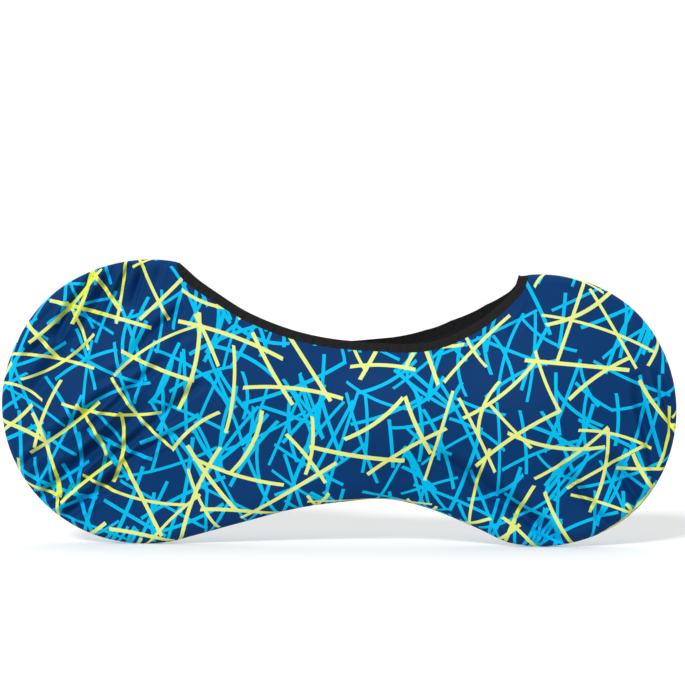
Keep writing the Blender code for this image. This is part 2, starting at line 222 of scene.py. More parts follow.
NEAR_CREASES = (
    # steep ones at the top of the front pocket
    Fold(-0.445, 0.720, -0.464, 0.650, 0.009, 0.0070),
    Fold(-0.484, 0.730, -0.524, 0.595, 0.008, 0.0135),
    Fold(-0.512, 0.755, -0.568, 0.606, 0.011, 0.0230),
    Fold(-0.578, 0.618, -0.620, 0.530, 0.010, 0.0175),
    Fold(-0.528, 0.760, -0.664, 0.505, 0.013, 0.0215),
    Fold(-0.590, 0.735, -0.656, 0.615, 0.012, 0.0210),
    Fold(-0.652, 0.637, -0.719, 0.505, 0.012, 0.0195),
    Fold(-0.640, 0.690, -0.705, 0.610, 0.009, 0.0090),
    Fold(-0.700, 0.620, -0.775, 0.530, 0.012, 0.0080),
    Fold(-0.725, 0.520, -0.800, 0.462, 0.010, 0.0125),
    Fold(-0.665, 0.525, -0.790, 0.360, 0.016, 0.0110),
    Fold(-0.630, 0.505, -0.668, 0.450, 0.011, 0.0090),
    # from the mouth's front end down to the middle of the pocket
    Fold(-0.393, 0.598, -0.470, 0.530, 0.010, 0.0155),
    Fold(-0.460, 0.540, -0.535, 0.455, 0.012, 0.0100),
    Fold(-0.380, 0.535, -0.420, 0.490, 0.011, 0.0060),
    Fold(-0.485, 0.460, -0.625, 0.395, 0.012, 0.0080),
    # side by side across the middle
    Fold(-0.545, 0.405, -0.742, 0.238, 0.013, 0.0145),
    Fold(-0.425, 0.478, -0.692, 0.218, 0.011, 0.0170),
    Fold(-0.470, 0.362, -0.765, 0.102, 0.018, 0.0225),
    Fold(-0.342, 0.408, -0.480, 0.290, 0.010, 0.0150),
    Fold(-0.455, 0.312, -0.655, 0.142, 0.011, 0.0155),
    Fold(-0.378, 0.296, -0.565, 0.190, 0.010, 0.0160),
    Fold(-0.500, 0.215, -0.650, 0.093, 0.013, 0.0135),
    Fold(-0.515, 0.190, -0.615, 0.115, 0.015, 0.0125),
    Fold(-0.640, 0.165, -0.730, 0.090, 0.011, 0.0090),
    Fold(-0.735, 0.245, -0.825, 0.170, 0.010, 0.0135),
    Fold(-0.715, 0.205, -0.785, 0.150, 0.010, 0.0100),
    Fold(-0.680, 0.160, -0.790, 0.082, 0.011, 0.0170),
    Fold(-0.612, 0.120, -0.740, 0.028, 0.014, 0.0215),
    # under the rear pocket, listed from below, so that they lean the other way
    Fold(0.632, -0.056, 0.432, 0.106, 0.016, 0.0250),
    Fold(0.470, 0.068, 0.315, 0.188, 0.019, 0.0170),
    Fold(0.370, 0.162, 0.240, 0.225, 0.013, 0.0125),
    Fold(0.300, 0.205, 0.200, 0.262, 0.012, 0.0040),
    Fold(0.668, 0.058, 0.548, 0.225, 0.010, 0.0160),
    Fold(0.782, 0.078, 0.680, 0.235, 0.014, 0.0195),
    Fold(0.735, 0.012, 0.640, 0.086, 0.012, 0.0160),
    Fold(0.815, 0.045, 0.735, 0.125, 0.010, 0.0175),
    # down the back of the rear pocket
    Fold(0.812, 0.120, 0.745, 0.440, 0.016, 0.0170),
    Fold(0.770, 0.280, 0.732, 0.405, 0.010, 0.0090),
    Fold(0.858, 0.262, 0.790, 0.452, 0.012, 0.0160),
    Fold(0.874, 0.200, 0.828, 0.335, 0.011, 0.0190),
    Fold(0.838, 0.215, 0.806, 0.310, 0.009, 0.0080),
    # from the mouth's rear end
    Fold(0.494, 0.669, 0.658, 0.639, 0.012, 0.0025),
    Fold(0.418, 0.518, 0.481, 0.619, 0.010, 0.0025),
)
FAR_CREASES = (
    Fold(-0.490, 0.690, -0.600, 0.540, 0.012, 0.0100),
    Fold(-0.630, 0.640, -0.720, 0.520, 0.012, 0.0120),
    Fold(-0.690, 0.480, -0.790, 0.370, 0.011, 0.0090),
    Fold(-0.450, 0.500, -0.640, 0.350, 0.012, 0.0120),
    Fold(-0.370, 0.390, -0.600, 0.220, 0.013, 0.0140),
    Fold(-0.450, 0.300, -0.650, 0.170, 0.012, 0.0120),
    Fold(-0.560, 0.230, -0.700, 0.140, 0.011, 0.0110),
    Fold(0.180, 0.280, 0.330, 0.220, 0.015, 0.0060),
    Fold(0.330, 0.150, 0.480, 0.060, 0.015, 0.0120),
    Fold(0.560, 0.200, 0.650, 0.040, 0.012, 0.0110),
    Fold(0.690, 0.330, 0.780, 0.190, 0.012, 0.0120),
    Fold(0.770, 0.480, 0.820, 0.380, 0.010, 0.0080),
    Fold(0.430, 0.540, 0.500, 0.630, 0.010, 0.0030),
)


# ---- the surface that the cloth is stretched over ----


def along(points):
    """The distance along a line of points, at each of them."""
    steps = np.linalg.norm(np.diff(points, axis=0), axis=1)
    return np.concatenate([[0.0], np.cumsum(steps)])


def at(points, distance):
    """The place on a line of points at that distance along it."""
    measure = along(points)
    return np.stack([np.interp(distance, measure, points[:, k]) for k in (0, 1)], axis=-1)


def on_pocket(pocket, turn):
    """The point of a pocket's outline at an angle, or at each of several angles."""
    radius = pocket.radius
    for peak in pocket.peaks:
        off = (turn - peak.turn + math.pi) % (2 * math.pi) - math.pi
        radius = radius + peak.height * np.exp(-((off / peak.spread) ** 2))
    x = pocket.centre[0] + radius * np.cos(turn)
    z = pocket.centre[1] + radius * np.sin(turn)
    return np.stack([x, z], axis=-1)


def pocket_edge(pocket, start, end):
    """Closely spaced points of a pocket's outline between two angles."""
    count = max(2, int(abs(end - start) * pocket.radius / SAMPLE))
    return on_pocket(pocket, np.linspace(start, end, count))


def curve_through(points):
    """A smooth curve through points. The first and the last only steer its two ends."""
    points = np.array(points)
    pieces = []
    for a, b, c, d in zip(points, points[1:], points[2:], points[3:]):
        step = np.linalg.norm(c - b)
        t = np.linspace(0, 1, max(2, int(step / SAMPLE)), endpoint=False)[:, None]
        leave = (c - a) * step / np.linalg.norm(c - a)
        arrive = (d - b) * step / np.linalg.norm(d - b)
        pieces.append(
            (2 * t**3 - 3 * t**2 + 1) * b
            + (t**3 - 2 * t**2 + t) * leave
            + (-2 * t**3 + 3 * t**2) * c
            + (t**3 - t**2) * arrive
        )
    return np.concatenate([*pieces, points[-2:-1]])


def smooth(t):
    """0 to 1 with soft ends."""
    t = np.clip(t, 0.0, 1.0)
    return t * t * (3 - 2 * t)


def mouth_line(lifts=()):
    """The line where panel and binding meet, raised by a side's own lifts."""
    first = on_pocket(FRONT, FRONT.mouth_turn)
    last = on_pocket(REAR, REAR.mouth_turn)
    above = np.array([0.0, MOUTH_STEER])
    line = curve_through([first + above, first, *MOUTH, last, last + above])
    if lifts:
        height = [lift.height for lift in lifts]
        line[:, 1] += np.interp(line[:, 0], [lift.x for lift in lifts], height)
    return line


def waist_line():
    """The bottom seam between the pockets, which leaves each one smoothly."""
    leaving = on_pocket(FRONT, FRONT.waist_turn + np.array([-STEER, 0.0]))
    joining = on_pocket(REAR, REAR.waist_turn + np.array([0.0, STEER]))
    return curve_through([*leaving, *WAIST, *joining])


FRONT_TIP = FRONT.mouth_turn - FRONT_END_WIDTH / FRONT_RADIUS
REAR_TIP = REAR.mouth_turn + REAR_END_WIDTH / REAR_RADIUS
FRONT_ARC = pocket_edge(FRONT, FRONT_TIP, FRONT.waist_turn + 2 * math.pi)
REAR_ARC = pocket_edge(REAR, REAR.waist_turn, REAR_TIP)
CLOSED = np.concatenate([FRONT_ARC, waist_line()[1:-1], REAR_ARC, FRONT_ARC[:1]])


def to_line(line, places):
    """Each place's distance to a line of points, the line's right-hand side, and where along it."""
    start, step = line[:-1], np.diff(line, axis=0)
    length = np.linalg.norm(step, axis=1)
    right = np.stack([step[:, 1], -step[:, 0]], axis=1) / length[:, None]
    measure = along(line)[:-1]
    gaps, sides, spots = [], [], []
    for some in np.array_split(places, max(1, len(places) // 1500)):
        away = some[:, None] - start[None]
        share = np.clip((away * step).sum(2) / length**2, 0.0, 1.0)
        gap = np.linalg.norm(away - share[..., None] * step, axis=2)
        k = gap.argmin(axis=1)
        row = np.arange(len(some))
        gaps.append(gap[row, k])
        sides.append(right[k])
        spots.append(measure[k] + share[row, k] * length[k])
    return np.concatenate(gaps), np.concatenate(sides), np.concatenate(spots)


def keel(x, z):
    """1 along the bottom seam between the pockets, 0 at the pockets and higher up."""
    between = (x - KEEL_FROM) * (KEEL_TO - x) / KEEL_FADE**2
    return smooth(between) * (1 - smooth((z - KEEL_TOP) / KEEL_RISE))


def belly(x, z):
    """How far the cloth is pushed out from the rim's width."""
    return sum(
        b.height * np.exp(-(((x - b.x) / b.spread_x) ** 2) - ((z - b.z) / b.spread_z) ** 2)
        for b in BULGES
    )


def fold_depth(x, z, folds, leaning=0.0, ridge=0.0, spread=1.0):
    """How far all troughs together draw the cloth in. A leaning one is wider above its line.

    ridge is the height of the ridges beside each, and spread widens them all.
    """
    total = np.zeros_like(x)
    for f in folds:
        run_x, run_z = f.x_to - f.x_from, f.z_to - f.z_from
        length = math.hypot(run_x, run_z)
        t = ((x - f.x_from) * run_x + (z - f.z_from) * run_z) / length**2
        across = ((x - f.x_from) * run_z - (z - f.z_from) * run_x) / length
        across = across / (spread * f.half_width * (1 + leaning * np.sign(across)))
        fade = np.sin(math.pi * np.clip(t, 0, 1)) ** FOLD_END
        beside = ridge * np.exp(-(((np.abs(across) - RIDGE_PLACE) / RIDGE_WIDTH) ** 2))
        total += f.depth * fade * (np.exp(-(across**2)) - beside)
    return total


def pucker(spot, reach):
    """Uneven ripples along a seam, as stitching draws them, by the place along it."""
    long, short = [spot * 2 * math.pi / length for length in PUCKER_WAVES]
    wave = np.sin(long) + 0.7 * np.sin(short + 1.3)
    strength = 0.55 + 0.45 * np.sin(spot * 2 * math.pi / PUCKER_BEAT + 0.6)
    return PUCKER * wave * strength * reach


def elastic_ripple(spot, away, mouth_length):
    """The ripples along the mouth, by the place along it and the distance from it."""
    long, short = [spot * 2 * math.pi / length for length in ELASTIC_WAVES]
    wave = np.sin(long) + 0.6 * np.sin(short + 0.9)
    fade = smooth(np.minimum(spot, mouth_length - spot) / RIPPLE_ENDS)
    return ELASTIC_RIPPLE * wave * fade * np.exp(-((away / RIPPLE_REACH) ** 2))


def hung(places, gap_scale, side, folds, creases, out_by=0.0):
    """Where places of the flat outline hang, their flat places in the cloth, and how much painted
    shade the creases near them lay on the inks.

    gap_scale is 0 for what lies on the seam and 1 elsewhere, and out_by is how much
    further out than the plain surface a place is. side is -1 near and +1 far.
    """
    gap, out, spot = to_line(CLOSED, places)
    gap = gap * gap_scale
    x, z = places[:, 0], places[:, 1]
    free = keel(x, z)
    width = RIM_HALF_WIDTH + free * (KEEL_WIDTH - RIM_HALF_WIDTH)
    height = RIM_HALF_WIDTH + free * (KEEL_HEIGHT - RIM_HALF_WIDTH)
    flat = 1 - np.minimum(gap, width) / width
    rise = np.sqrt(1 - flat**2)
    inside = 1 - np.exp(-((gap / BELLY_RISE) ** 2))
    round_rim = width * np.arccos(flat)
    off_rim = 1 - np.exp(-((gap / CREASE_FADE) ** 2))
    drawn = inside * fold_depth(x, z, folds)
    drawn += off_rim * fold_depth(x, z, creases, LEANING, RIDGE)
    near_seam = np.exp(-(((round_rim - PUCKER_FROM) / PUCKER_REACH) ** 2))
    ripple = pucker(spot, near_seam * np.clip(round_rim / PUCKER_START, 0, 1))
    reach = height * rise + inside * belly(x, z) - drawn + ripple
    reach += out_by * smooth(gap / OUT_FADE)
    groove = SEAM_GROOVE * np.exp(-((round_rim / SEAM_GROOVE_WIDTH) ** 2))
    hang = np.stack(
        [x - groove * out[:, 0], side * (reach + PIECE_GAP / 2), z - groove * out[:, 1]], axis=1
    )
    # In the flat cloth the rim lies further out by what its round takes up.
    unrolled = width * (np.arcsin(flat) - flat)
    # Painted shade: how darkly the inks are drawn near the creases, from the creases' depth.
    shade_near_creases = smooth(fold_depth(x, z, creases, spread=SHADE_SPREAD) / FULL_SHADE_DEPTH)
    return hang, places + out * unrolled[:, None], shade_near_creases


def stations(length, step, first, last):
    """Distances from 0 to length, in even steps but for the given ones in from each end."""
    start = np.concatenate([[0.0], np.cumsum(first)])
    end = length - np.concatenate([[0.0], np.cumsum(last)])[::-1]
    count = max(1, round((end[0] - start[-1]) / step))
    return np.concatenate([start, np.linspace(start[-1], end[0], count + 1)[1:-1], end])


# ---- the pieces ----

FAR_PRINT_SHIFT = np.array([0.37, 0.21])


def panel_places(mouth):
    """A grid of places over a panel, whose rows run round its outline.

    Columns run from the bottom edge over the spine line to the top edge.
    At the two ends of the spine each column is folded onto itself.
    """
    top = (
        pocket_edge(FRONT, math.pi, FRONT.mouth_turn),
        mouth,
        pocket_edge(REAR, REAR.mouth_turn, 0.0),
    )
    bottom = (
        pocket_edge(FRONT, -math.pi, FRONT.waist_turn),
        waist_line(),
        pocket_edge(REAR, REAR.waist_turn, 0.0),
    )
    steps = [
        stations(along(top[0])[-1], POCKET_CELL, (), ()),
        stations(along(top[1])[-1], MIDDLE_CELL, MOUTH_END_CELLS, MOUTH_END_CELLS),
        stations(along(top[2])[-1], POCKET_CELL, (), ()),
    ]
    rim = RIM_HALF_WIDTH * (1 - np.cos(np.radians(RIM_TURNS)))
    reach = [
        FRONT.centre[0] - SPINE_SHARE * FRONT_RADIUS,
        FRONT.centre[0] + SPINE_SHARE * (mouth[0, 0] - FRONT.centre[0]),
        REAR.centre[0] + SPINE_SHARE * (mouth[-1, 0] - REAR.centre[0]),
        REAR.centre[0] + SPINE_SHARE * REAR_RADIUS,
    ]
    columns = []
    for part in range(3):
        whole = along(top[part])[-1]
        last = None if part == 2 else -1
        for s in steps[part][:last]:
            high = at(top[part], s)
            low = at(bottom[part], s / whole * along(bottom[part])[-1])
            if part == 1:
                spine_x = reach[1] + (reach[2] - reach[1]) * s / whole
            else:
                pocket = FRONT if part == 0 else REAR
                spine_x = pocket.centre[0] + SPINE_SHARE * (high[0] - pocket.centre[0])
            share = (spine_x - FRONT.centre[0]) / (REAR.centre[0] - FRONT.centre[0])
            spine = np.array([spine_x, FRONT_RADIUS + (REAR_RADIUS - FRONT_RADIUS) * share])
            open_share = 0.0
            if part == 1:
                open_share = float(smooth(min(s, whole - s) / OPEN_EDGE_FADE))
            high = high + np.array([0.0, TUCK * open_share])
            columns.append(np.concatenate([
                ray(low, spine, rim, 0.0)[:-1],
                ray(high, spine, rim, open_share)[::-1],
            ]))
    return np.array(columns)


def ray(edge, spine, rim, open_share):
    """Places from an edge to the spine, closer together round the rim of a seamed edge."""
    length = np.linalg.norm(spine - edge)
    count = len(rim) + ROWS
    seamed = np.concatenate([rim, np.linspace(rim[-1], length, ROWS + 1)[1:]])
    even = np.linspace(0, length, count)
    distance = (1 - open_share) * seamed + open_share * even
    return edge + (spine - edge) * (distance / length)[:, None]


def mesh_object(name, bm, materials):
    """A smooth-shaded object from a bmesh, with its materials."""
    mesh = bpy.data.meshes.new(name)
    bm.to_mesh(mesh)
    bm.free()
    mesh.shade_smooth()
    for material in materials:
        mesh.materials.append(material)
    made = bpy.data.objects.new(name, mesh)
    bpy.context.scene.collection.objects.link(made)
    return made


def cloth_sheet(name, shape, hang, maps, side, materials):
    """A grid of points as a sheet of cloth with its outside out, and its maps by their names."""
    columns, rows = shape
    bm = bmesh.new()
    bmesh.ops.create_grid(bm, x_segments=columns - 1, y_segments=rows - 1, size=1.0)
    charts = [(bm.loops.layers.uv.new(title), values) for title, values in maps.items()]
    order = {}
    for v in bm.verts:
        i = round((v.co.x + 1) / 2 * (columns - 1))
        j = round((v.co.y + 1) / 2 * (rows - 1))
        order[v] = i * rows + j
    for v, k in order.items():
        v.co = hang[k]
    for face in bm.faces:
        for loop in face.loops:
            for chart, values in charts:
                loop[chart].uv = values[order[loop.vert]]
    if side > 0:
        bmesh.ops.reverse_faces(bm, faces=bm.faces[:])
    bmesh.ops.remove_doubles(bm, verts=bm.verts[:], dist=WELD)
    return mesh_object(name, bm, materials)


def thicken(piece, thickness, inner_slot=0):
    """Gives a sheet its thickness on the inside, in the inner slot's material."""
    solidify = piece.modifiers.new("thickness", "SOLIDIFY")
    solidify.thickness = thickness
    solidify.offset = -1.0
    solidify.use_even_offset = False
    solidify.material_offset = inner_slot
    solidify.material_offset_rim = inner_slot


def side_panel(name, side, mouth, folds, creases, materials):
    """One printed side panel of the cover."""
    grid = panel_places(mouth)
    shape = grid.shape[:2]
    gap_scale = np.ones(shape)
    gap_scale[:, 0] = 0.0
    _, _, spot = to_line(CLOSED, grid[:, -1])
    on_arc = np.linalg.norm(grid[:, -1] - at(CLOSED, spot), axis=1) < ON_SEAM
    gap_scale[on_arc, -1] = 0.0
    tucked = np.zeros(shape)
    tucked[~on_arc, -1] = TUCK_IN
    places = grid.reshape(-1, 2)
    away, _, spot = to_line(mouth, places)
    out_by = elastic_ripple(spot, away, along(mouth)[-1]) - tucked.reshape(-1)
    hang, flat, shade_near_creases = hung(places, gap_scale.reshape(-1), side, folds, creases, out_by)
    # Each side is cut from another part of the printed length.
    shift = np.zeros(2) if side < 0 else FAR_PRINT_SHIFT
    lay = flat * np.array([-side, 1.0]) + shift
    # The second map carries the painted shade of the creases to the inks.
    maps = {"cloth_lay": lay, "painted_crease_shade": np.stack([shade_near_creases, 0 * shade_near_creases], axis=1)}
    panel = cloth_sheet(name, shape, hang, maps, side, materials)
    thicken(panel, CLOTH, 1)
    return panel


def binding_top(mouth, s):
    """The point of the binding's top edge above a distance from its front end."""
    step = at(mouth, s + SAMPLE) - at(mouth, s - SAMPLE)
    up = np.array([-step[1], step[0]]) / np.linalg.norm(step)
    return at(mouth, s) + (BINDING_WIDTH + BINDING_SPREAD * (1 - smooth(s / SPREAD_REACH))) * up


def on_binding(mouth, s, share):
    """The place at a distance along the binding and shares of the way up it, and its height.

    Towards each end the top edge runs straight to the binding's tip on the seam.
    """
    length = along(mouth)[-1]
    share = np.asarray(share)
    low = at(mouth, s)
    corner_rise = 0.0
    if s < FRONT_TURN:
        top = FRONT_ARC[0] + (binding_top(mouth, FRONT_TURN) - FRONT_ARC[0]) * s / FRONT_TURN
    elif length - s < REAR_TURN:
        end = (length - s) / REAR_TURN
        top = REAR_ARC[-1] + (binding_top(mouth, length - REAR_TURN) - REAR_ARC[-1]) * end
        corner_rise = REAR_CORNER_RISE * (1 - end) ** 3 * share**6
    else:
        top = binding_top(mouth, s)
    height = np.linalg.norm(top - low) * share
    place = low + share[..., None] * (top - low)
    place[..., 1] += corner_rise
    return place, height


def binding_hang(mouth, spots, shares, ends_on_seam, side, folds, creases):
    """Where points of the binding hang, and their lay along and across it."""
    places, lay, out_by = [], [], []
    length = along(mouth)[-1]
    for s, share in zip(spots, shares):
        place, height = on_binding(mouth, s, share)
        places.append(place)
        lay.append(np.stack([np.full_like(height, s), height], axis=-1))
        lean = BINDING_LEAN * np.asarray(share) ** 2
        out_by.append(BINDING_STAND - lean + elastic_ripple(s, height, length))
    gap_scale = np.ones(np.shape(shares))
    if ends_on_seam:
        gap_scale[[0, -1]] = 0.0
    hang, _, _ = hung(
        np.array(places).reshape(-1, 2),
        gap_scale.reshape(-1),
        side,
        folds,
        creases,
        np.array(out_by).reshape(-1),
    )
    return hang, np.array(lay).reshape(-1, 2)


def binding(name, side, mouth, folds, creases, material):
    """One folded elastic binding, which leans in a little at its top."""
    spots = stations(along(mouth)[-1], BINDING_CELL, (), ())
    shares = np.tile(np.linspace(0, 1, BINDING_ROWS + 1), (len(spots), 1))
    hang, lay = binding_hang(mouth, spots, shares, True, side, folds, creases)
    piece = cloth_sheet(name, shares.shape, hang, {"cloth_lay": lay}, side, [material])
    thicken(piece, BINDING)
    bevel = piece.modifiers.new("rolled edge", "BEVEL")
    bevel.width = BINDING_EDGE
    bevel.segments = 3
    bevel.limit_method = "ANGLE"
    bevel.angle_limit = math.radians(50)
    return piece


def zigzag_stitch(name, side, mouth, folds, creases, material):
    """The thread that holds the binding on: it dips into each needle hole."""
    length = along(mouth)[-1]
    holes = np.arange(STITCH_START, length - STITCH_START, STITCH_STEP)
    spots, shares, depths = [], [], []
    for k, hole in enumerate(holes[:-1]):
        low, high = (STITCH_LOW, STITCH_HIGH) if k % 2 == 0 else (STITCH_HIGH, STITCH_LOW)
        for t, depth in ((0.0, -THREAD), (0.2, THREAD / 3), (0.8, THREAD / 3)):
            s = hole + t * STITCH_STEP
            spots.append(s)
            shares.append((low + (high - low) * t) / BINDING_WIDTH)
            depths.append(depth)
    hang, _ = binding_hang(mouth, spots, np.array(shares), False, side, folds, creases)
    hang[:, 1] += side * np.array(depths)
    curve = bpy.data.curves.new(name, "CURVE")
    curve.dimensions = "3D"
    curve.bevel_depth = THREAD / 2
    curve.bevel_resolution = 1
    curve.materials.append(material)
    spline = curve.splines.new("POLY")
    spline.points.add(len(hang) - 1)
    spline.points.foreach_set("co", np.column_stack([hang, np.ones(len(hang))]).ravel())
    made = bpy.data.objects.new(name, curve)
    bpy.context.scene.collection.objects.link(made)
    return made


# ---- the finishes ----


def srgb(colour):
    """A hex colour as linear light."""
    values = [int(colour[k : k + 2], 16) / 255 for k in (1, 3, 5)]
    linear = [v / 12.92 if v <= 0.04045 else ((v + 0.055) / 1.055) ** 2.4 for v in values]
    return (*linear, 1.0)


NAVY = srgb("#09396f")
CYAN = srgb("#00c1f1")
LIME = srgb("#e8f28a")
# The two light inks as drawn in and beside the creases: darker and fuller, as painted shade.
SHADED_CYAN = srgb("#00b6ec")
SHADED_LIME = srgb("#e7f05c")


def add(tree, kind, feeds=(), **settings):
    """Adds a node.

    feeds go into its sockets, in order or by name: each is a number, a colour, a vector, or
    the node or socket that is linked there.
    """
    made = tree.nodes.new(kind)
    for name, value in settings.items():
        setattr(made, name, value)
    for socket, feed in feeds.items() if isinstance(feeds, dict) else enumerate(feeds):
        if isinstance(feed, bpy.types.Node):
            feed = feed.outputs[0]
        if isinstance(feed, bpy.types.NodeSocket):
            tree.links.new(feed, made.inputs[socket])
        else:
            made.inputs[socket].default_value = feed
    return made


SEED_SLIDE = 0.37  # how far across each seed slides its grid, in rows
ROW_DRAW = 5.0  # where in the noise a row's random number comes from,
CELL_DRAWS = (1.0, 51.0)  # and a cell's two sets of three


def stroke_group():
    """A node group that lays one stroke in each cell of a turned grid, in metres.

    Each stroke's length, place, tilt, width and bow come from its cell's own random numbers,
    and it always ends inside its cell.
    """
    group = bpy.data.node_groups.new("loose_strokes", "ShaderNodeTree")
    group.interface.new_socket(name="Lay", in_out="INPUT", socket_type="NodeSocketVector")
    for name in ("Turn", "Length", "Pitch", "Width", "Tilt", "Bow", "Share", "Seed", "Variant"):
        group.interface.new_socket(name=name, in_out="INPUT", socket_type="NodeSocketFloat")
    group.interface.new_socket(name="Ink", in_out="OUTPUT", socket_type="NodeSocketFloat")
    given = group.nodes.new("NodeGroupInput").outputs

    turned = add(
        group,
        "ShaderNodeVectorRotate",
        {"Vector": given["Lay"], "Angle": given["Turn"]},
        rotation_type="Z_AXIS",
    )
    place = add(group, "ShaderNodeSeparateXYZ", [turned]).outputs
    # The grid's rows are the pitch apart, and each is slid along by an amount of its own.
    across = add(group, "ShaderNodeMath", [place["Y"], given["Pitch"]], operation="DIVIDE")
    lane = add(
        group, "ShaderNodeMath", [given["Seed"], SEED_SLIDE, across], operation="MULTIPLY_ADD"
    )
    row = add(group, "ShaderNodeMath", [lane], operation="FLOOR")
    row_number = add(group, "ShaderNodeCombineXYZ", [row, given["Seed"], ROW_DRAW])
    slide = add(group, "ShaderNodeTexWhiteNoise", {"Vector": row_number}, noise_dimensions="3D")
    lengths = add(group, "ShaderNodeMath", [place["X"], given["Length"]], operation="DIVIDE")
    run = add(group, "ShaderNodeMath", [lengths, slide.outputs["Value"]], operation="ADD")
    column = add(group, "ShaderNodeMath", [run], operation="FLOOR")
    # The place in the cell, from its middle: b across it and a along it.
    b = add(group, "ShaderNodeMath", [lane, row], operation="SUBTRACT")
    b = add(group, "ShaderNodeMath", [b, 0.5], operation="SUBTRACT")
    b = add(group, "ShaderNodeMath", [b, given["Pitch"]], operation="MULTIPLY")
    a = add(group, "ShaderNodeMath", [run, column], operation="SUBTRACT")
    a = add(group, "ShaderNodeMath", [a, 0.5], operation="SUBTRACT")
    a = add(group, "ShaderNodeMath", [a, given["Length"]], operation="MULTIPLY")
    # The cell's own random numbers.
    cell = add(group, "ShaderNodeCombineXYZ", [row, column, given["Seed"]])
    here = add(group, "ShaderNodeTexWhiteNoise", {"Vector": cell, "W": 0.0}, noise_dimensions="4D")
    draws = []
    for offset in CELL_DRAWS:
        w = add(group, "ShaderNodeMath", [given["Variant"], offset], operation="ADD")
        drawn = add(
            group, "ShaderNodeTexWhiteNoise", {"Vector": cell, "W": w}, noise_dimensions="4D"
        )
        draws += list(add(group, "ShaderNodeSeparateColor", [drawn.outputs["Color"]]).outputs)
    long_share, move, lean, thick, arch, drift = draws
    # Half the stroke is 0.23 to 0.48 of its cell long, and it lies anywhere along the cell.
    half = add(group, "ShaderNodeMath", [long_share, 0.25, 0.23], operation="MULTIPLY_ADD")
    half = add(group, "ShaderNodeMath", [given["Length"], half], operation="MULTIPLY")
    room = add(group, "ShaderNodeMath", [half, -2.0, given["Length"]], operation="MULTIPLY_ADD")
    move = add(group, "ShaderNodeMath", [move, 0.5], operation="SUBTRACT")
    move = add(group, "ShaderNodeMath", [move, room], operation="MULTIPLY")
    a = add(group, "ShaderNodeMath", [a, move], operation="SUBTRACT")
    # Its tilt, half its width, and the room that they leave it across the cell.
    tilt = add(group, "ShaderNodeMath", [lean, 2.0, -1.0], operation="MULTIPLY_ADD")
    tilt = add(group, "ShaderNodeMath", [tilt, given["Tilt"]], operation="MULTIPLY")
    wide = add(group, "ShaderNodeMath", [thick, 0.18, 0.41], operation="MULTIPLY_ADD")
    wide = add(group, "ShaderNodeMath", [given["Width"], wide], operation="MULTIPLY")
    rise = add(group, "ShaderNodeMath", [half, tilt], operation="MULTIPLY")
    rise = add(group, "ShaderNodeMath", [rise], operation="ABSOLUTE")
    taken = add(group, "ShaderNodeMath", [wide, 2.2, given["Bow"]], operation="MULTIPLY_ADD")
    taken = add(group, "ShaderNodeMath", [rise, 2.0, taken], operation="MULTIPLY_ADD")
    left = add(group, "ShaderNodeMath", [given["Pitch"], taken], operation="SUBTRACT")
    left = add(group, "ShaderNodeMath", [left, 0.0], operation="MAXIMUM")
    centre = add(group, "ShaderNodeMath", [drift, 0.5], operation="SUBTRACT")
    centre = add(group, "ShaderNodeMath", [centre, left], operation="MULTIPLY")
    # Its middle line: tilted, and bowed like a blade of grass.
    reach = add(group, "ShaderNodeMath", [a, half], operation="DIVIDE")
    reach = add(group, "ShaderNodeMath", [reach, reach, -0.5], operation="MULTIPLY_ADD")
    arch = add(group, "ShaderNodeMath", [arch, 2.0, -1.0], operation="MULTIPLY_ADD")
    arch = add(group, "ShaderNodeMath", [arch, given["Bow"]], operation="MULTIPLY")
    line = add(group, "ShaderNodeMath", [tilt, a, centre], operation="MULTIPLY_ADD")
    line = add(group, "ShaderNodeMath", [arch, reach, line], operation="MULTIPLY_ADD")
    off = add(group, "ShaderNodeMath", [b, line], operation="SUBTRACT")
    off = add(group, "ShaderNodeMath", [off], operation="ABSOLUTE")
    in_width = add(group, "ShaderNodeMath", [off, wide], operation="LESS_THAN")
    from_middle = add(group, "ShaderNodeMath", [a], operation="ABSOLUTE")
    in_length = add(group, "ShaderNodeMath", [from_middle, half], operation="LESS_THAN")
    present = add(
        group, "ShaderNodeMath", [here.outputs["Value"], given["Share"]], operation="LESS_THAN"
    )
    ink = add(group, "ShaderNodeMath", [in_width, in_length], operation="MULTIPLY")
    ink = add(group, "ShaderNodeMath", [ink, present], operation="MULTIPLY")
    add(group, "NodeGroupOutput", [ink])
    return group


# A layer's turn is in degrees, its tilt is a slope, and its sizes are in metres. share is
# the part of its cells that have a stroke. Layers of one seed fill the same cells.
Layer = namedtuple("Layer", "turn length pitch width tilt bow share seed variant")
CYAN_LAYERS = (
    Layer(68, 0.30, 0.075, 0.0085, 0.12, 0.016, 0.73, 1, 0),
    Layer(112, 0.27, 0.075, 0.0082, 0.13, 0.016, 0.71, 2, 0),
    Layer(24, 0.30, 0.080, 0.0082, 0.13, 0.018, 0.73, 3, 0),
    Layer(155, 0.27, 0.080, 0.0080, 0.13, 0.016, 0.69, 4, 0),
    Layer(88, 0.25, 0.085, 0.0082, 0.16, 0.014, 0.69, 5, 0),
    # sheaves: several strokes cross in the same cell
    Layer(60, 0.22, 0.150, 0.0095, 0.40, 0.014, 0.47, 6, 0),
    Layer(60, 0.22, 0.150, 0.0090, 0.40, 0.014, 0.47, 6, 1),
    Layer(60, 0.22, 0.150, 0.0090, 0.40, 0.014, 0.47, 6, 2),
    Layer(60, 0.22, 0.150, 0.0085, 0.40, 0.014, 0.47, 6, 3),
    Layer(130, 0.20, 0.140, 0.0090, 0.40, 0.014, 0.34, 7, 0),
    Layer(130, 0.20, 0.140, 0.0085, 0.40, 0.014, 0.34, 7, 1),
    Layer(130, 0.20, 0.140, 0.0085, 0.40, 0.014, 0.34, 7, 2),
)
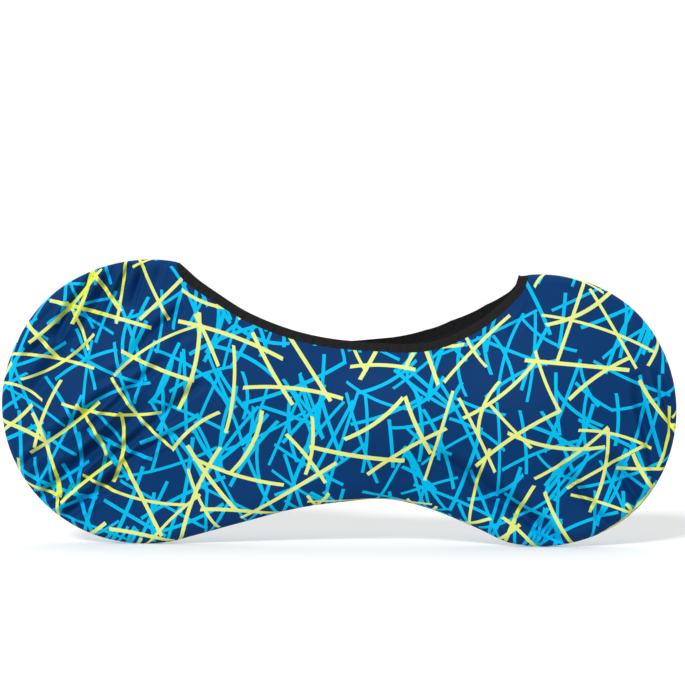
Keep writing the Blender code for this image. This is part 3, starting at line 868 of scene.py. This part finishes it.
LIME_LAYERS = (
    Layer(74, 0.30, 0.110, 0.0088, 0.20, 0.020, 0.73, 11, 0),
    Layer(168, 0.32, 0.115, 0.0088, 0.20, 0.022, 0.73, 12, 0),
    Layer(38, 0.30, 0.115, 0.0086, 0.20, 0.022, 0.69, 13, 0),
    Layer(122, 0.26, 0.115, 0.0088, 0.22, 0.018, 0.65, 14, 0),
)


def inked(tree, lay, group, layers):
    """All strokes of one ink, from its layers."""
    ink = None
    for layer in layers:
        strokes = add(
            tree,
            "ShaderNodeGroup",
            {
                "Lay": lay,
                "Turn": math.radians(-layer.turn),
                "Length": layer.length,
                "Pitch": layer.pitch,
                "Width": layer.width,
                "Tilt": layer.tilt,
                "Bow": layer.bow,
                "Share": layer.share,
                "Seed": float(layer.seed),
                "Variant": float(layer.variant),
            },
            node_tree=group,
        )
        if ink is not None:
            strokes = add(tree, "ShaderNodeMath", [ink, strokes], operation="MAXIMUM")
        ink = strokes
    return ink


def new_material(name):
    """A new material, its nodes, and the Principled shader that feeds its output."""
    material = bpy.data.materials.new(name)
    material.use_nodes = True
    tree = material.node_tree
    return material, tree, tree.nodes["Principled BSDF"]


def printed_knit():
    """Polyester and elastane knit, printed on its outside: smooth, with a soft sheen.

    Near the creases the two light inks are drawn darker and fuller in colour, as painted
    shade of the folds.
    """
    material, tree, shader = new_material("printed_polyester_knit")
    lay = add(tree, "ShaderNodeUVMap", uv_map="cloth_lay")
    group = stroke_group()
    cyan = inked(tree, lay, group, CYAN_LAYERS)
    lime = inked(tree, lay, group, LIME_LAYERS)
    shade_near_creases = add(tree, "ShaderNodeUVMap", uv_map="painted_crease_shade")
    shade_near_creases = add(tree, "ShaderNodeSeparateXYZ", [shade_near_creases]).outputs["X"]
    # Painted shade: the light inks turn darker and fuller near the creases.
    cyan_with_shade = add(tree, "ShaderNodeMix", {0: shade_near_creases, 6: CYAN, 7: SHADED_CYAN}, data_type="RGBA")
    lime_with_shade = add(tree, "ShaderNodeMix", {0: shade_near_creases, 6: LIME, 7: SHADED_LIME}, data_type="RGBA")
    ground = add(
        tree, "ShaderNodeMix", {0: cyan, 6: NAVY, 7: cyan_with_shade.outputs[2]}, data_type="RGBA"
    )
    colour = add(
        tree,
        "ShaderNodeMix",
        {0: lime, 6: ground.outputs[2], 7: lime_with_shade.outputs[2]},
        data_type="RGBA",
    )
    tree.links.new(colour.outputs[2], shader.inputs["Base Color"])
    shader.inputs["Roughness"].default_value = 0.62
    shader.inputs["Specular IOR Level"].default_value = 0.06
    space = add(tree, "ShaderNodeTexCoord").outputs["Object"]
    loops = add(tree, "ShaderNodeTexNoise", {"Vector": space, "Scale": 1 / LOOP, "Detail": 1.0})
    swell = add(tree, "ShaderNodeTexNoise", {"Vector": space, "Scale": 1 / SWELL, "Detail": 3.0})
    fine = add(
        tree, "ShaderNodeBump", {"Strength": 0.20, "Distance": 0.0004, "Height": loops.outputs[0]}
    )
    soft = add(
        tree,
        "ShaderNodeBump",
        {"Strength": 0.35, "Distance": 0.002, "Height": swell.outputs[0], "Normal": fine},
    )
    tree.links.new(soft.outputs[0], shader.inputs["Normal"])
    return material


def black_knit():
    """The cloth's unprinted inside, dyed black: matt, with the loops' backs."""
    material, tree, shader = new_material("black_polyester_knit_back")
    space = add(tree, "ShaderNodeTexCoord").outputs["Object"]
    loops = add(
        tree, "ShaderNodeTexNoise", {"Vector": space, "Scale": 1 / LOOP_BACK, "Detail": 2.0}
    )
    shade = add(
        tree,
        "ShaderNodeMix",
        {0: loops.outputs[0], 6: srgb("#0b0c10"), 7: srgb("#1b1d23")},
        data_type="RGBA",
    )
    tree.links.new(shade.outputs[2], shader.inputs["Base Color"])
    shader.inputs["Roughness"].default_value = 0.85
    shader.inputs["Specular IOR Level"].default_value = 0.25
    bump = add(
        tree, "ShaderNodeBump", {"Strength": 0.3, "Distance": 0.0004, "Height": loops.outputs[0]}
    )
    tree.links.new(bump.outputs[0], shader.inputs["Normal"])
    return material


def woven_elastic():
    """Fold-over elastic: black nylon woven over rubber threads, which gives dull ribs along it."""
    material, tree, shader = new_material("black_woven_elastic")
    lay = add(tree, "ShaderNodeUVMap", uv_map="cloth_lay")
    across = add(tree, "ShaderNodeSeparateXYZ", [lay]).outputs["Y"]
    turns = add(tree, "ShaderNodeMath", [across, 2 * math.pi / RIB], operation="MULTIPLY")
    ribs = add(tree, "ShaderNodeMath", [turns], operation="SINE")
    space = add(tree, "ShaderNodeTexCoord").outputs["Object"]
    weave = add(tree, "ShaderNodeTexNoise", {"Vector": space, "Scale": 1 / FLOAT, "Detail": 2.0})
    shade = add(
        tree,
        "ShaderNodeMix",
        {0: weave.outputs[0], 6: srgb("#050506"), 7: srgb("#161618")},
        data_type="RGBA",
    )
    tree.links.new(shade.outputs[2], shader.inputs["Base Color"])
    shader.inputs["Roughness"].default_value = 0.7
    shader.inputs["Specular IOR Level"].default_value = 0.2
    fine = add(
        tree, "ShaderNodeBump", {"Strength": 0.4, "Distance": 0.0004, "Height": weave.outputs[0]}
    )
    ribbed = add(
        tree, "ShaderNodeBump", {"Strength": 0.5, "Distance": 0.0003, "Height": ribs, "Normal": fine}
    )
    tree.links.new(ribbed.outputs[0], shader.inputs["Normal"])
    return material


def polyester_thread():
    """Black spun polyester sewing thread: a little smoother and shinier than the elastic."""
    material, tree, shader = new_material("black_polyester_thread")
    space = add(tree, "ShaderNodeTexCoord").outputs["Object"]
    twist = add(tree, "ShaderNodeTexNoise", {"Vector": space, "Scale": 1 / TWIST, "Detail": 1.0})
    shade = add(
        tree,
        "ShaderNodeMix",
        {0: twist.outputs[0], 6: srgb("#08080a"), 7: srgb("#202024")},
        data_type="RGBA",
    )
    tree.links.new(shade.outputs[2], shader.inputs["Base Color"])
    shader.inputs["Roughness"].default_value = 0.5
    shader.inputs["Specular IOR Level"].default_value = 0.3
    return material


# ---- floor, light and camera ----

ROOM_LIGHT = 0.10  # what the backdrop gives from the front,
BACK_LIGHT = 0.9  # and from behind
KEY_LIGHT = 2.75
FLOOR_RADIUS = 40.0
FLOOR_DROP = 0.0005  # the floor lies just under the cover


def stage_floor():
    """A wide pale floor."""
    bm = bmesh.new()
    bmesh.ops.create_circle(bm, cap_ends=True, radius=FLOOR_RADIUS, segments=96)
    material, _, shader = new_material("pale_floor")
    shader.inputs["Base Color"].default_value = srgb("#fbfbfb")
    shader.inputs["Roughness"].default_value = 0.9
    shader.inputs["Specular IOR Level"].default_value = 0.1
    shader.inputs["Emission Color"].default_value = (1.0, 1.0, 1.0, 1.0)
    shader.inputs["Emission Strength"].default_value = 0.08
    floor = mesh_object("floor", bm, [material])
    floor.location.z = -FLOOR_DROP
    # The floor's own white would light every fold from below.
    floor.visible_diffuse = False


def soft_light(name, towards, strength, spread):
    """A far-off soft light that shines in a direction and is spread over an angle."""
    light = bpy.data.lights.new(name, "SUN")
    light.energy = strength
    light.angle = math.radians(spread)
    made = bpy.data.objects.new(name, light)
    made.rotation_euler = Vector(towards).to_track_quat("-Z", "Y").to_euler()
    bpy.context.scene.collection.objects.link(made)


def studio():
    """Soft light from the upper left, in front of a white backdrop that lights the back."""
    world = bpy.data.worlds.new("studio")
    bpy.context.scene.world = world
    world.use_nodes = True
    tree = world.node_tree
    background = tree.nodes["Background"]
    background.inputs["Color"].default_value = (1.0, 1.0, 1.0, 1.0)
    way = add(tree, "ShaderNodeTexCoord").outputs["Generated"]
    back = add(tree, "ShaderNodeSeparateXYZ", [way]).outputs["Y"]
    lit = add(
        tree,
        "ShaderNodeMapRange",
        {
            "Value": back,
            "From Min": -0.75,
            "From Max": -0.1,
            "To Min": ROOM_LIGHT,
            "To Max": BACK_LIGHT,
        },
        interpolation_type="SMOOTHSTEP",
    )
    # Seen by itself it is white all round.
    seen = add(tree, "ShaderNodeLightPath").outputs["Is Camera Ray"]
    level = add(tree, "ShaderNodeMath", [lit, seen], operation="MAXIMUM")
    tree.links.new(level.outputs[0], background.inputs["Strength"])
    soft_light("key", (0.26, 0.86, -0.44), KEY_LIGHT, 12)
    bpy.context.scene.view_settings.view_transform = "Standard"


# The photograph is 685 pixels wide, at 2.526 mm of the cover for each.
PHOTO_WIDTH, PHOTO_HEIGHT = 685, 683
PIXEL = 0.002526
ORIGIN_PIXEL = Point(340.1, 545.0)  # where the cover's own origin lies in it
CAMERA_DISTANCE = 8.0
CAMERA_ELEVATION = 1.0
CAMERA_ROLL = 0.45


def camera():
    """A long lens that sees the near side straight on, in the photograph's frame."""
    data = bpy.data.cameras.new("camera")
    data.sensor_fit = "HORIZONTAL"
    data.sensor_width = 36.0
    data.lens = data.sensor_width * CAMERA_DISTANCE / (PHOTO_WIDTH * PIXEL)
    made = bpy.data.objects.new("camera", data)
    x = (PHOTO_WIDTH / 2 - ORIGIN_PIXEL.x) * PIXEL
    z = (ORIGIN_PIXEL.z - PHOTO_HEIGHT / 2) * PIXEL
    rise = math.radians(CAMERA_ELEVATION)
    made.location = (x, -CAMERA_DISTANCE * math.cos(rise), z + CAMERA_DISTANCE * math.sin(rise))
    made.rotation_euler = (math.pi / 2 - rise, -math.radians(CAMERA_ROLL), 0)
    bpy.context.scene.collection.objects.link(made)
    bpy.context.scene.camera = made


def main():
    """Sets the stage and dresses both sides."""
    camera()
    studio()
    stage_floor()
    printed = printed_knit()
    inside = black_knit()
    elastic = woven_elastic()
    thread = polyester_thread()
    for name, side, folds, creases, lifts in (
        ("near", -1, NEAR_FOLDS, NEAR_CREASES, ()),
        ("far", 1, FAR_FOLDS, FAR_CREASES, FAR_LIFT),
    ):
        mouth = mouth_line(lifts)
        panel = side_panel(f"side_panel_{name}", side, mouth, folds, creases, [printed, inside])
        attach(panel, "root")
        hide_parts(f"panel_{name}")
        band = binding(f"elastic_{name}", side, mouth, folds, creases, elastic)
        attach(band, "root")
        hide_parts(f"binding_{name}")
        stitch = zigzag_stitch(f"stitching_{name}", side, mouth, folds, creases, thread)
        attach(stitch, "root")


main()
